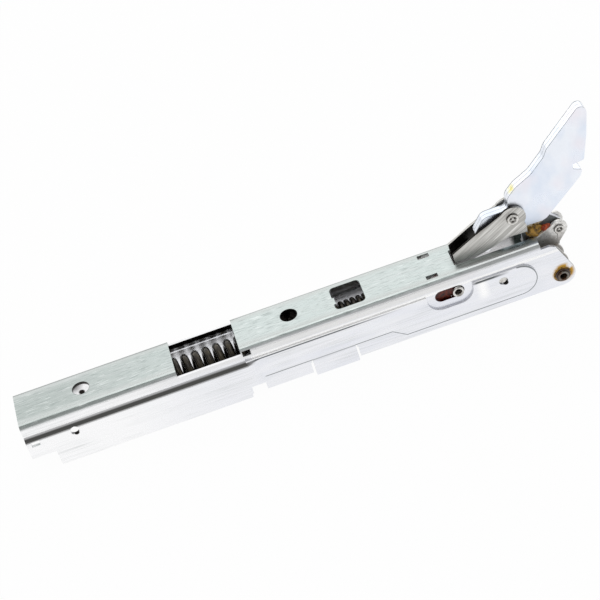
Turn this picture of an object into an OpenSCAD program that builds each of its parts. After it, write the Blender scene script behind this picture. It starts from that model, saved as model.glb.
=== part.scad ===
// Oven door hinge: a pressed channel case with springs inside, a hooked arm
// on a tubular pivot, and a stirrup that props the arm open for door removal.
// X runs along the case from its rear end to the pivot end, Y across it,
// Z up through the web. The walls' lower edges stand on Z = 0.

/* [Case] */
// Length of the case from its rear end to the round end at the pivot
case_length = 227.9; // [227:0.1:229]
// Width across the web, outside the bends
case_width = 21; // [20.6:0.1:23]
// Height of the case
case_height = 24; // [23.8:0.1:26]
// Thickness of the case's sheet steel
sheet = 1.3; // [1.2:0.05:1.4]
// Outside radius of the bend between web and wall
bend_radius = 2.8; // [1.6:0.1:3]
// Height of the narrow band along the top of each wall
band_height = 5.7; // [5:0.1:6.5]
// How far the rear half of each wall steps outward below the band
rear_step = 1.9; // [1.4:0.1:2.4]
// How far the long front panel of each wall is pressed outward
panel_step = 0.9; // [0.5:0.1:1]

/* [Web openings] */
// Diameter of the two screw holes
screw_hole_diameter = 7; // [5:0.1:8]
// Rear end to the first screw hole
first_screw_hole = 27.2; // [24:0.1:29]
// Distance between the screw holes
screw_hole_pitch = 86.8; // [84:0.1:88]
// Rear end to the spring window
spring_window_start = 64.9; // [60:0.1:66]
// Length of the spring window
spring_window_length = 26.4; // [20:0.1:27]
// Rear end to the small window
small_window_start = 132.3; // [130:0.1:136]
// Length of the small window
small_window_length = 12.6; // [8:0.1:14]
// Width of the small window
small_window_width = 13.2; // [10:0.1:13.4]
// Rear end to the edge on which the stirrup props
cut_out_start = 182.1; // [181.9:0.1:182.1]
// Width of the cut-out that the arm swings through
cut_out_width = 9.4; // [9.2:0.1:10]

/* [Pivot and slider] */
// Rear end to the main pivot
pivot_x = 222.4; // [222.3:0.1:222.5]
// Height of the main pivot
pivot_z = 5.6; // [5.5:0.1:5.8]
// Diameter of the tubular pivot and of the slider's pin
tube_diameter = 4.6; // [4.4:0.1:4.6]
// Bore of both tubes
tube_bore = 2.8; // [2:0.1:3]
// Radius from the main pivot to the crank pin
crank_radius = 4.6; // [4.6:0.1:4.7]
// Degrees through which the arm opens
arm_swing = 70; // [50:1:70]
// Height of the slot for the slider's pin, as a share of the case's height
slot_share = 0.6625; // [0.65:0.0025:0.675]
// Rear end to the slider's pin at rest
slider_pin_x = 180.2; // [180:0.1:180.4]

/* [Springs] */
// Height of the springs' axis, as a share of the case's height
spring_share = 0.517; // [0.5:0.001:0.533]
// Outside diameter of the main spring, as a share of the case's height
main_spring_share = 0.667; // [0.625:0.001:0.683]
// Wire of the main spring
main_wire = 3.1; // [2.8:0.1:3.4]
// Turns of the main spring
main_turns = 17; // [13:1:17]
// Outside diameter of the short spring, as a share of the case's height
short_spring_share = 0.6; // [0.54:0.005:0.625]
// Wire of the short spring
short_wire = 2.1; // [1.6:0.1:2.2]
// Turns of the short spring
short_turns = 12; // [8:1:12]

/* [Arm and stirrup] */
// Reach of the arm above the main pivot, by which its outline is scaled
arm_reach = 72.4; // [72.2:0.1:73]
// Thickness of each of the arm's two plates
plate = 2.2; // [2:0.1:2.3]
// Thickness of the carrier's cheeks
cheek = 1.4; // [1.2:0.1:1.5]
// Thickness of the stirrup's sheet
stirrup_sheet = 1.1; // [0.9:0.1:1.2]
// Diameter of the solid rivets' shanks
rivet_diameter = 3.4; // [3:0.1:3.6]

/* [Hidden] */

$fn = 48;
// A hair's breadth by which cutting shapes run past the faces they cut
past = 1;
// Side-to-side gap between faces that slide past each other
side_gap = 0.12;
// Radial gap of a turning fit
turning_gap = 0.05;

// Case
half_width = case_width / 2;
inner_half = half_width - sheet;
band_z = case_height - band_height;
slot_z = slot_share * case_height;
spring_z = spring_share * case_height;
main_spring_diameter = main_spring_share * case_height;
short_spring_diameter = short_spring_share * case_height;
rear_length = 96.8;
// Angle between neighbouring points round a bend
bend_turn = 15;
// The step below the band of the rear half: a 45 degree slope that rounds off downward
joggle_share = tan(45 / 2);
joggle_round = 2.4;
joggle_z = band_z - rear_step + joggle_round * (1 - cos(45) - sin(45));
// The step fades into the front panel between these places
ramp_start = 91.5;
ramp_end = 97.5;
// Lower front corner of the rear step
rear_corner = [90.3, 7.3];
rear_corner_radius = 3;
// The whole wall is cut short at the rear end, and notched where the step ends
rear_tab_length = 10;
rear_tab_z = 7.9;
relief_start = 90.9;
relief_z = 3.6;
// Long front panel
panel_start = 92;
panel_low_z = 7.3;
panel_deep_z = 3.2;
panel_dip_start = 150.8;
panel_dip_end = 156.2;
panel_top_gap = 0.5;
panel_round = (band_z - panel_top_gap - panel_deep_z) / 2;
panel_round_x = 205;
// Thickness of the sheet in the panel's sloping sides
panel_side = 1.2;
// Plain island round the slider's slot
island_radius = 6.2;
// Tab between two slits that leans out under the panel
tab_start = 117.2;
tab_end = 135.2;
tab_z = 8.4;
tab_lean = 1.2;
slit = 0.5;
// Round end of the walls and the end of the web's side strips
end_radius = 5.5;
bush_wall = 1.4;
bush_radius = tube_diameter / 2 + bush_wall;
bush_recess = 0.5;
bush_collar_wall = 0.7;
bush_collar_stand_out = 0.8;
strip_end = 215.9;
wall_shoulder = 219.4;
shoulder_z = 21.7;
slope_start = [221.9, 20.6];
strip_corner = 1.6;
// The spring window stops so far above the inside of the bends
window_rise = 0.1;
window_bottom = case_height - bend_radius + window_rise;
window_corner = 1.8;
window_tongue = [0.8, 3.8];
window_tongue_y = -3;
slot_opening = [4.8, 2.2];
slot_opening_x = 172.2;
slot_opening_y = 6.5;
bend_notch = [3.4, 2.4];
bend_notch_x = 93.5;
bend_notch_z = 20.4;
// Small holes of the walls
rear_hole = [3.4, 2.3];
rear_hole_place = [3.7, 0.625 * case_height];
round_hole_radius = 1.85;
round_hole_place = [19.9, 0.62 * case_height];
front_hole_place = [198.6, 0.56 * case_height];

// Slider
slot_play = 0.4;
slot_radius = tube_diameter / 2 + slot_play;
slot_travel = 6.8;
slider_pin_stand_out = 1.1;
pivot_stand_out = 1.6;
pin_flare = 0.55;
slider_half = 1.5;
crank_angle = -90 + arm_swing / 2;
crank_place = [pivot_x + crank_radius * cos(crank_angle), pivot_z + crank_radius * sin(crank_angle)];
roller_clearance = 0.5;
roller_radius = crank_radius - tube_diameter / 2 - roller_clearance;
crank_pin_radius = 0.55 * roller_radius;
nose_x = crank_place[0] - roller_radius - side_gap;
nose_clearance = 0.3;
nose_top = pivot_z - tube_diameter / 2 - nose_clearance;
nose_bottom = 0.4;
head_start = 159.2;
head_length = 13;
head_half = case_height / 4;
plate_start = 163.6;
plate_top = 0.8 * case_height;
head_pin_radius = 1.6;
head_pin_rise = 0.6 * head_half;
head_pin_x = 168;
spacer_radius = 4;

// Springs and what they bear on
rear_stop_x = 44;
rear_stop_sheet = 2;
rear_stop_flange = 14;
rear_stop_z = 2;
rear_stop_step_z = joggle_z - side_gap;
spigot_length = 5;
spigot_tail = 1.2;
spigot_tail_radius = 3;
spigot_play = 0.3;
spigot_radius = main_spring_diameter / 2 - main_wire - spigot_play;
collar_x = 122.5;
collar_sheet = 4;
collar_radius = 0.34 * case_height;
rod_radius = 3.6;
washer_sheet = 1.4;
washer_radius = 0.3 * case_height;
short_spring_start = collar_x + collar_sheet;
short_spring_end = head_start - washer_sheet;
// Places where a wire is drawn round, per turn and round its section
steps_per_turn = 18;
wire_sides = 8;

// Arm, with places given from the main pivot as shares of arm_reach
heel_share = [0.049, 0.241];
tail_share = [-0.1, 0.168];
stirrup_share = [-0.187, 0.42];
heel_place = from_pivot(heel_share);
tail_place = from_pivot(tail_share);
stirrup_place = from_pivot(stirrup_share);
ear_radius = 3.7;
tail_lobe_radius = 3.4;
heel_lobe_radius = 2.6;
hub_radius = 5;
// How far the cheek's neck lies behind the line from heel rivet to pivot
neck_shift = [-0.5, -0.05];
// Corners of a plate and the radius of each, from the tip down the back, round
// the tail and the heel, and up past the hook
arm_corner_shares = [
    [0.293, 0.994, 0.030], [0.074, 0.781, 0.060], [0.052, 0.738, 0.060], [-0.035, 0.653, 0.080],
    [-0.130, 0.602, 0.080], [-0.186, 0.550, 0.060], [-0.198, 0.472, 0.028], [-0.336, 0.471, 0.045],
    [-0.408, 0.376, 0.015], [-0.230, 0.296, 0.060], [-0.110, 0.322, 0.050], [-0.010, 0.318, 0.070],
    [0.058, 0.378, 0.040], [0.225, 0.528, 0.030], [0.246, 0.569, 0.012], [0.196, 0.592, 0.011],
    [0.192, 0.624, 0.011], [0.263, 0.631, 0.015], [0.300, 0.785, 0.060], [0.327, 0.949, 0.045]];
lobe_neck_shares = [[-0.150, 0.34], [0.004, 0.34]];

// Stirrup, with corners from its rivet as shares of its length
stirrup_play = 0.5;
stirrup_inner = plate + stirrup_play;
stirrup_outer = stirrup_inner + stirrup_sheet;
stirrup_length = 26.6;
stirrup_round = 5.5;
stirrup_corner_shares = [
    [-0.985, -0.285], [-0.979, -0.49], [-0.72, -0.49], [-0.371, -0.392], [-0.12, -0.312],
    [0.178, -0.33], [0.184, -0.19], [0.02, 0.19], [-0.12, 0.155], [-0.444, 0.0], [-0.6, -0.072]];
stirrup_web_shares = [
    [-0.979, -0.49], [-0.72, -0.49], [-0.64, -0.467], [-0.64, -0.425], [-0.72, -0.449], [-0.979, -0.449]];
head_radius = 2.5;
ear_head_radius = 2.05;
head_height = 0.9;
dish_radius = 1.5;
dish_depth = 0.35;

// The origin is half way between the rear end and the blade's outermost point
arm_points = rounded_outline(
    [for (share = arm_corner_shares) from_pivot(share)],
    [for (share = arm_corner_shares) arm_reach * share[2]]);
origin_x = max([for (point = arm_points) point[0]]) / 2;

function from_pivot(share) = [pivot_x + arm_reach * share[0], pivot_z + arm_reach * share[1]];
function from_stirrup(share) =
    [stirrup_place[0] + stirrup_length * share[0], stirrup_place[1] + stirrup_length * share[1]];
function on_circle(centre, radius, angle) = centre + radius * [cos(angle), sin(angle)];

// Points of an outline with every corner rounded by its own radius
function unit(v) = v / norm(v);
function corner_arc(before, corner, after, radius, steps) =
    let (
        to_before = unit(before - corner),
        to_after = unit(after - corner),
        half = acos(to_before * to_after) / 2,
        centre = corner + unit(to_before + to_after) * radius / sin(half),
        foot_in = corner + to_before * radius / tan(half) - centre,
        foot_out = corner + to_after * radius / tan(half) - centre,
        start = atan2(foot_in[1], foot_in[0]),
        turn = atan2(foot_out[1], foot_out[0]) - start,
        sweep = turn > 180 ? turn - 360 : turn < -180 ? turn + 360 : turn
    )
    [for (i = [0 : steps]) centre + radius * [cos(start + sweep * i / steps), sin(start + sweep * i / steps)]];
function rounded_outline(corners, radii, steps = 5) =
    let (n = len(corners))
    [for (i = [0 : n - 1])
        each corner_arc(corners[(i + n - 1) % n], corners[i], corners[(i + 1) % n], radii[i], steps)];

module placed() {
    translate([-origin_x, 0, 0]) children();
}

// Stands a shape drawn in X and Z between two places across the case
module across(low, high) {
    translate([0, high, 0]) rotate([90, 0, 0]) linear_extrude(high - low) union() children();
}

module pin_across(place, radius, low, high) {
    translate([place[0], high, place[1]]) rotate([90, 0, 0]) cylinder(r = radius, h = high - low);
}

module rod_along(start, end, radius) {
    translate([start, 0, spring_z]) rotate([0, 90, 0]) cylinder(r = radius, h = end - start);
}

module both_sides() {
    children();
    mirror([0, 1, 0]) children();
}

// Half outline of the bent sheet, from the web's middle down one wall
function bend_place(radius, angle) =
    [half_width - bend_radius + radius * sin(angle), case_height - bend_radius + radius * cos(angle)];
function bend(radius) = [for (angle = [0 : bend_turn : 90]) bend_place(radius, angle)];
function bend_back(radius) = [for (angle = [90 : -bend_turn : 0]) bend_place(radius, angle)];
function mirrored(points) = [for (i = [len(points) - 1 : -1 : 0]) [-points[i][0], points[i][1]]];

module plain_profile() {
    outer = concat(bend(bend_radius), [[half_width, 0], [inner_half, 0]], bend_back(bend_radius - sheet));
    polygon(concat(outer, mirrored(outer)));
}

// Round part of the step under the band, from the bottom up
function joggle(radius) = [for (angle = [0 : bend_turn : 45])
    [half_width + rear_step - joggle_round + radius * cos(angle), joggle_z + radius * sin(angle)]];

// Cross-section of one side's step, from inside the wall out to the step's face
module step_profile(radius, corner, inner, low) {
    polygon(concat([[inner, low]], [[half_width + rear_step - joggle_round + radius, low]],
        joggle(radius), [corner], [[inner, corner[1]]]));
}

module along(start, end) {
    translate([start, 0, 0]) rotate([90, 0, 90]) linear_extrude(end - start) children();
}

module stadium(first, last, z, radius) {
    translate([first, z]) circle(r = radius);
    translate([last, z]) circle(r = radius);
    translate([first, z - radius]) square([last - first, 2 * radius]);
}

// Side view of the rear step, drawn in by an inset at its lower front corner
module rear_outline(inset) {
    side_x = rear_corner[0] - inset;
    low = rear_corner[1] + inset;
    difference() {
        union() {
            translate([-past, -past]) square([side_x + past, case_height]);
            translate([-past, low]) square([ramp_end + past, case_height]);
            translate([side_x - past, low - rear_corner_radius])
                square([rear_corner_radius + past, rear_corner_radius + past]);
        }
        translate([side_x + rear_corner_radius, low - rear_corner_radius]) circle(r = rear_corner_radius);
    }
}

// Plan of the rear step on one side, which fades into the front panel
module ramp_plan(inset) {
    wide = half_width + rear_step - inset;
    linear_extrude(case_height + past)
        polygon([
            [-past, 0], [ramp_end + past, 0], [ramp_end + past, wide - rear_step + panel_step],
            [ramp_end - inset, wide - rear_step + panel_step], [ramp_start - inset, wide], [-past, wide]]);
}

// Outline of the panel pressed out of the front of a wall, drawn in by an inset
module panel_outline(inset) {
    top = panel_deep_z + 2 * panel_round;
    difference() {
        union() {
            polygon([
                [panel_start + inset, panel_low_z + inset],
                [panel_dip_start + inset, panel_low_z + inset],
                [panel_dip_end + inset, panel_deep_z + inset],
                [panel_round_x, panel_deep_z + inset],
                [panel_round_x, top - inset],
                [slider_pin_x + island_radius + inset, top - inset],
                [slider_pin_x, band_z - inset],
                [panel_start + inset, band_z - inset]]);
            translate([panel_round_x, panel_deep_z + panel_round]) circle(r = panel_round - inset);
        }
        stadium(slider_pin_x - slot_travel, slider_pin_x, slot_z, island_radius + inset);
        translate([slider_pin_x - slot_travel - island_radius - inset, slot_z])
            square([slot_travel + 2 * (island_radius + inset), case_height]);
    }
}

module wall_outline() {
    polygon([
        [0, rear_tab_z], [rear_tab_length, rear_tab_z], [rear_tab_length, 0],
        [pivot_x, pivot_z - end_radius], [pivot_x, pivot_z],
        on_circle([pivot_x, pivot_z], end_radius, 25), slope_start,
        [wall_shoulder, shoulder_z], [strip_end, shoulder_z], [strip_end, case_height], [0, case_height]]);
    translate([pivot_x, pivot_z]) circle(r = end_radius);
    translate([rear_tab_length, 0]) square([pivot_x - rear_tab_length, pivot_z]);
}

// Cross-section of the leaning tab, or of the space behind it
module tab_profile(inset, low) {
    face = half_width + panel_step - inset;
    polygon([[inner_half - past, low], [face + tab_lean, low], [face, tab_z], [inner_half - past, tab_z]]);
}

module wall_forms() {
    across(inner_half, half_width + panel_step) panel_outline(0);
    along(tab_start, tab_end) tab_profile(0, 0);
    intersection() {
        along(0, ramp_end) step_profile(joggle_round, [half_width, band_z], inner_half, 0);
        across(0, case_width) rear_outline(0);
        ramp_plan(0);
    }
}

module wall_hollows() {
    across(inner_half - past, inner_half + panel_step) panel_outline(panel_side);
    along(tab_start - past, tab_end + past) tab_profile(sheet, -past);
    intersection() {
        along(-past, ramp_end)
            step_profile(joggle_round - sheet, [inner_half, band_z - sheet * joggle_share],
                inner_half - past, -past);
        across(0, case_width) rear_outline(panel_side);
        ramp_plan(sheet);
    }
    across(inner_half - past, half_width + rear_step + past) {
        translate([tab_start - slit, -past]) square([slit, panel_low_z + past]);
        translate([tab_end, -past]) square([slit, panel_low_z + past]);
    }
}

module wall_cuts() {
    wide = half_width + rear_step + past;
    across(-wide, wide) {
        stadium(slider_pin_x - slot_travel, slider_pin_x, slot_z, slot_radius);
        translate(rear_hole_place) square(rear_hole, center = true);
        translate([relief_start, -past]) square([rear_length - relief_start, relief_z + past]);
    }
    pin_across([pivot_x, pivot_z], bush_radius, -wide, wide);
    pin_across(round_hole_place, round_hole_radius, -wide, wide);
    pin_across(front_hole_place, round_hole_radius, -wide, wide);
}

module window_outline() {
    low = small_window_width / 2;
    difference() {
        translate([small_window_start, -low])
            polygon(rounded_outline(
                [[0, 0], [small_window_length, 0], [small_window_length, 2 * low], [0, 2 * low]],
                [for (corner = [1 : 4]) window_corner]));
        translate([small_window_start - past, window_tongue_y])
            square([window_tongue[0] + past, window_tongue[1]]);
    }
}

module cut_out_outline() {
    low = cut_out_width / 2;
    translate([cut_out_start, -low]) square([case_length - cut_out_start + past, cut_out_width]);
    for (side = [-1, 1])
        translate([strip_end - strip_corner, side * low - strip_corner])
            difference() {
                square([strip_corner + past, 2 * strip_corner]);
                translate([0, side > 0 ? 2 * strip_corner : 0]) circle(r = strip_corner);
            }
}

module web_cuts() {
    low = case_height - bend_radius - past;
    translate([0, 0, low]) linear_extrude(bend_radius + 2 * past) {
        window_outline();
        cut_out_outline();
        for (side = [-1, 1])
            translate([slot_opening_x, side * slot_opening_y]) square(slot_opening, center = true);
    }
    for (x = [first_screw_hole, first_screw_hole + screw_hole_pitch])
        translate([x, 0, low]) cylinder(r = screw_hole_diameter / 2, h = bend_radius + 2 * past);
    translate([spring_window_start, -half_width - past, window_bottom])
        cube([spring_window_length, case_width + 2 * past, case_height]);
    for (side = [-1, 1])
        translate([bend_notch_x - bend_notch[0] / 2, side * half_width - sheet - past / 2, bend_notch_z])
            cube([bend_notch[0], 2 * sheet + past, bend_notch[1]]);
}

module case_channel() {
    color([0.86, 0.87, 0.87])
    placed()
    difference() {
        intersection() {
            difference() {
                union() {
                    along(0, case_length + past) plain_profile();
                    both_sides() wall_forms();
                }
                both_sides() wall_hollows();
            }
            across(-case_width, case_width) wall_outline();
        }
        wall_cuts();
        web_cuts();
    }
}

// Pressed plate that the main spring pushes against
module rear_stop() {
    color([0.78, 0.79, 0.8])
    placed()
    difference() {
        union() {
            wide = inner_half + rear_step;
            translate([rear_stop_x, -wide, rear_stop_z])
                cube([rear_stop_sheet, 2 * wide, rear_stop_step_z - rear_stop_z]);
            translate([rear_stop_x, -inner_half, rear_stop_z])
                cube([rear_stop_sheet, 2 * inner_half, case_height - bend_radius - rear_stop_z]);
            both_sides()
                translate([rear_stop_x - rear_stop_flange, wide - rear_stop_sheet, rear_stop_z])
                    cube([rear_stop_flange + past, rear_stop_sheet, rear_stop_step_z - rear_stop_z]);
        }
        rod_along(rear_stop_x - past, rear_stop_x + rear_stop_sheet + past, spigot_tail_radius);
    }
}

// Turned spigot riveted in the stop to centre the main spring
module rear_spigot() {
    color([0.6, 0.6, 0.6])
    placed() {
        face = rear_stop_x + rear_stop_sheet;
        rod_along(face, face + spigot_length, spigot_radius);
        rod_along(rear_stop_x, face, spigot_tail_radius);
        rod_along(rear_stop_x - spigot_tail, rear_stop_x, spigot_tail_radius + spigot_tail);
    }
}

// Distance along a spring after so many turns, with a closed turn at each end
function coil_rise(turn, turns, length, wire) =
    let (open = (length - 3 * wire) / (turns - 2))
    wire / 2 + (turn < 1 ? turn * wire : turn > turns - 1
        ? wire + (turns - 2) * open + (turn - turns + 1) * wire
        : wire + (turn - 1) * open);

module coil_spring(start, end, diameter, wire, turns) {
    mean = (diameter - wire) / 2;
    rings = turns * steps_per_turn;
    points = [for (i = [0 : rings], k = [0 : wire_sides - 1])
        let (
            turn = i / steps_per_turn,
            lift = mean + wire / 2 * cos(k * 360 / wire_sides),
            x = start + coil_rise(turn, turns, end - start, wire) + wire / 2 * sin(k * 360 / wire_sides)
        )
        [x, lift * cos(turn * 360), spring_z + lift * sin(turn * 360)]];
    sides = [for (i = [0 : rings - 1], k = [0 : wire_sides - 1])
        let (next = (k + 1) % wire_sides)
        [i * wire_sides + k, i * wire_sides + next, (i + 1) * wire_sides + next, (i + 1) * wire_sides + k]];
    first_cap = [for (k = [wire_sides - 1 : -1 : 0]) k];
    last_cap = [for (k = [0 : wire_sides - 1]) rings * wire_sides + k];
    polyhedron(points = points, faces = concat(sides, [first_cap], [last_cap]));
}

module main_spring() {
    color([0.12, 0.11, 0.1])
    placed()
    coil_spring(rear_stop_x + rear_stop_sheet, collar_x, main_spring_diameter, main_wire, main_turns);
}

// Collar on the push rod that closes the main spring
module spring_collar() {
    color([0.45, 0.45, 0.45])
    placed()
    difference() {
        union() {
            rod_along(collar_x, collar_x + collar_sheet, collar_radius);
            rod_along(collar_x - spigot_length, collar_x, spigot_radius);
        }
        rod_along(collar_x - spigot_length - past, collar_x + collar_sheet + past, rod_radius);
    }
}

module push_rod() {
    color([0.3, 0.3, 0.3])
    placed()
    rod_along(collar_x - spigot_length, plate_start - side_gap, rod_radius);
}

module short_spring() {
    color([0.13, 0.12, 0.1])
    placed()
    coil_spring(short_spring_start, short_spring_end, short_spring_diameter, short_wire, short_turns);
}

module spring_washer() {
    color([0.5, 0.5, 0.5])
    placed()
    difference() {
        rod_along(short_spring_end, head_start, washer_radius);
        rod_along(short_spring_end - past, head_start + past, rod_radius);
    }
}

// Block that joins the push rod to the slider's plate
module rod_head() {
    color([0.4, 0.4, 0.4])
    placed()
    difference() {
        translate([head_start, -head_half, spring_z - head_half])
            cube([head_length, 2 * head_half, 2 * head_half]);
        rod_along(head_start - past, plate_start, rod_radius);
        translate([plate_start, -slider_half, 0])
            cube([head_length, 2 * slider_half, case_height]);
        head_pin_shapes(head_pin_radius, head_half + past);
    }
}

module head_pin_shapes(radius, reach) {
    for (rise = [-head_pin_rise, head_pin_rise])
        pin_across([head_pin_x, spring_z + rise], radius, -reach, reach);
}

module head_pins() {
    color([0.6, 0.6, 0.6])
    placed()
    head_pin_shapes(head_pin_radius, head_half);
}

// Long plate from the slotted walls to the crank under the pivot
module slider_plate() {
    color([0.55, 0.55, 0.56])
    placed()
    difference() {
        across(-slider_half, slider_half)
            polygon([
                [plate_start, plate_top], [plate_start, spring_z - head_half],
                [slider_pin_x, spring_z - head_half], [slider_pin_x + 3 * spacer_radius, nose_top],
                [pivot_x - 3 * spacer_radius, nose_bottom], [nose_x, nose_bottom], [nose_x, nose_top],
                [pivot_x - 2 * spacer_radius, nose_top],
                [slider_pin_x + 7 * spacer_radius, pivot_z + end_radius / 2],
                [slider_pin_x + 2 * spacer_radius, spring_z], [slider_pin_x + spacer_radius, plate_top]]);
        head_pin_shapes(head_pin_radius, slider_half + past);
        pin_across([slider_pin_x, slot_z], tube_diameter / 2, -slider_half - past, slider_half + past);
    }
}

module flared_tube(place, stand_out) {
    reach = half_width + stand_out;
    difference() {
        pin_across(place, tube_diameter / 2, -reach, reach);
        pin_across(place, tube_bore / 2, -reach - past, reach + past);
        both_sides()
            translate([place[0], reach + pin_flare / 2, place[1]]) rotate([90, 0, 0])
                cylinder(r1 = tube_bore / 2 + pin_flare, r2 = tube_bore / 2, h = pin_flare);
    }
}

module slider_pin() {
    color([0.62, 0.6, 0.57])
    placed()
    flared_tube([slider_pin_x, slot_z], slider_pin_stand_out);
}

module spacer_ring(place, low, high, radius) {
    difference() {
        pin_across(place, radius, low, high);
        pin_across(place, tube_diameter / 2, low - past, high + past);
    }
}

module slider_spacer() {
    spacer_ring([slider_pin_x, slot_z], slider_half, inner_half - side_gap, spacer_radius);
}

module slider_spacer_near() {
    color([0.5, 0.48, 0.45])
    placed()
    mirror([0, 1, 0]) slider_spacer();
}

module slider_spacer_far() {
    color([0.5, 0.48, 0.45])
    placed()
    slider_spacer();
}

module pivot_tube() {
    color([0.75, 0.75, 0.74])
    placed()
    flared_tube([pivot_x, pivot_z], pivot_stand_out);
}

module pivot_bush() {
    pivot = [pivot_x, pivot_z];
    face = half_width - bush_recess;
    spacer_ring(pivot, inner_half, face, bush_radius);
    spacer_ring(pivot, face, half_width + bush_collar_stand_out, tube_diameter / 2 + bush_collar_wall);
}

module pivot_bush_near() {
    color([0.35, 0.2, 0.08])
    placed()
    mirror([0, 1, 0]) pivot_bush();
}

module pivot_bush_far() {
    color([0.35, 0.2, 0.08])
    placed()
    pivot_bush();
}

module pivot_spacer() {
    spacer_ring([pivot_x, pivot_z], plate + cheek + side_gap, inner_half, spacer_radius);
}

module pivot_spacer_near() {
    color([0.6, 0.58, 0.55])
    placed()
    mirror([0, 1, 0]) pivot_spacer();
}

module pivot_spacer_far() {
    color([0.6, 0.58, 0.55])
    placed()
    pivot_spacer();
}

// Cheek between the pivot, the crank pin and the two rivets of the arm
module carrier_cheek() {
    pivot = [pivot_x, pivot_z];
    neck = (heel_place + pivot) / 2 + neck_shift;
    difference() {
        across(plate, plate + cheek) {
            polygon([
                on_circle(tail_place, ear_radius, 200), on_circle(pivot, hub_radius, 210),
                on_circle(pivot, hub_radius, 15), neck, on_circle(heel_place, ear_radius, -30),
                on_circle(heel_place, ear_radius, 95), on_circle(tail_place, ear_radius, 95)]);
            for (place = [tail_place, heel_place])
                translate(place) circle(r = ear_radius);
            translate(pivot) circle(r = hub_radius);
            translate(crank_place) circle(r = roller_radius);
        }
        for (place = [tail_place, heel_place])
            pin_across(place, rivet_diameter / 2, plate - past, plate + cheek + past);
        pin_across(pivot, tube_diameter / 2 + turning_gap, plate - past, plate + cheek + past);
        pin_across(crank_place, crank_pin_radius, plate - past, plate + cheek + past);
    }
}

module carrier_near() {
    color([0.8, 0.78, 0.74])
    placed()
    mirror([0, 1, 0]) carrier_cheek();
}

module carrier_far() {
    color([0.8, 0.78, 0.74])
    placed()
    carrier_cheek();
}

module arm_outline() {
    polygon(arm_points);
}

// Lobe that carries the arm down between the cheeks
module lobe_outline() {
    necks = [for (share = lobe_neck_shares) from_pivot(share)];
    polygon([
        necks[1], necks[0], on_circle(tail_place, tail_lobe_radius, 170),
        on_circle(tail_place, tail_lobe_radius, -80), on_circle(heel_place, heel_lobe_radius, -60),
        on_circle(heel_place, heel_lobe_radius, 50)]);
    translate(tail_place) circle(r = tail_lobe_radius);
    translate(heel_place) circle(r = heel_lobe_radius);
}

module arm_plate_near() {
    color([0.87, 0.9, 0.94])
    placed()
    difference() {
        across(-plate, 0) arm_outline();
        pin_across(stirrup_place, rivet_diameter / 2, -plate - past, past);
    }
}

module arm_plate_far() {
    color([0.84, 0.88, 0.92])
    placed()
    difference() {
        across(0, plate) {
            arm_outline();
            lobe_outline();
        }
        for (place = [stirrup_place, tail_place, heel_place])
            pin_across(place, rivet_diameter / 2, -past, plate + past);
    }
}

// Solid rivet with a low dished head at each end
module rivet(place, grip, radius) {
    difference() {
        union() {
            pin_across(place, rivet_diameter / 2, -grip, grip);
            both_sides()
                translate([place[0], grip, place[1]]) rotate([-90, 0, 0])
                    cylinder(r1 = radius, r2 = radius - head_height / 2, h = head_height);
        }
        both_sides()
            pin_across(place, dish_radius, grip + head_height - dish_depth, grip + head_height + past);
    }
}

module heel_rivet() {
    color([0.78, 0.78, 0.76])
    placed()
    rivet(heel_place, plate + cheek, ear_head_radius);
}

module tail_rivet() {
    color([0.78, 0.78, 0.76])
    placed()
    rivet(tail_place, plate + cheek, ear_head_radius);
}

module shank_washer(place, radius) {
    difference() {
        pin_across(place, radius, -plate, 0);
        pin_across(place, rivet_diameter / 2, -plate - past, past);
    }
}

module heel_washer() {
    color([0.55, 0.5, 0.42])
    placed()
    shank_washer(heel_place, heel_lobe_radius);
}

module tail_washer() {
    color([0.55, 0.5, 0.42])
    placed()
    shank_washer(tail_place, tail_lobe_radius);
}

module crank_pin() {
    color([0.7, 0.7, 0.7])
    placed()
    pin_across(crank_place, crank_pin_radius, -plate - cheek, plate + cheek);
}

module crank_roller() {
    color([0.6, 0.6, 0.6])
    placed()
    difference() {
        pin_across(crank_place, roller_radius, -plate + side_gap, plate - side_gap);
        pin_across(crank_place, crank_pin_radius, -plate, plate);
    }
}

// Folded clip whose free end props on the edge of the web's cut-out
module stirrup() {
    color([0.66, 0.65, 0.63])
    placed()
    difference() {
        union() {
            both_sides()
                across(stirrup_inner, stirrup_outer) {
                    polygon([for (share = stirrup_corner_shares) from_stirrup(share)]);
                    translate(stirrup_place) circle(r = stirrup_round);
                }
            across(-stirrup_outer, stirrup_outer)
                polygon([for (share = stirrup_web_shares) from_stirrup(share)]);
        }
        pin_across(stirrup_place, rivet_diameter / 2 + turning_gap, -stirrup_outer - past, stirrup_outer + past);
    }
}

module stirrup_rivet() {
    color([0.7, 0.7, 0.68])
    placed()
    rivet(stirrup_place, stirrup_outer + turning_gap, head_radius);
}

case_channel();
rear_stop();
rear_spigot();
main_spring();
spring_collar();
push_rod();
short_spring();
spring_washer();
rod_head();
head_pins();
slider_plate();
slider_pin();
slider_spacer_near();
slider_spacer_far();
pivot_tube();
pivot_bush_near();
pivot_bush_far();
pivot_spacer_near();
pivot_spacer_far();
carrier_near();
carrier_far();
arm_plate_near();
arm_plate_far();
heel_rivet();
heel_washer();
tail_rivet();
tail_washer();
crank_pin();
crank_roller();
stirrup();
stirrup_rivet();
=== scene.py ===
import math

import bmesh
import bpy
from bpy.props import FloatProperty, FloatVectorProperty, IntProperty, PointerProperty
from bpy.types import Operator, Panel, PropertyGroup
from mathutils import Matrix, Vector, noise


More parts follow.
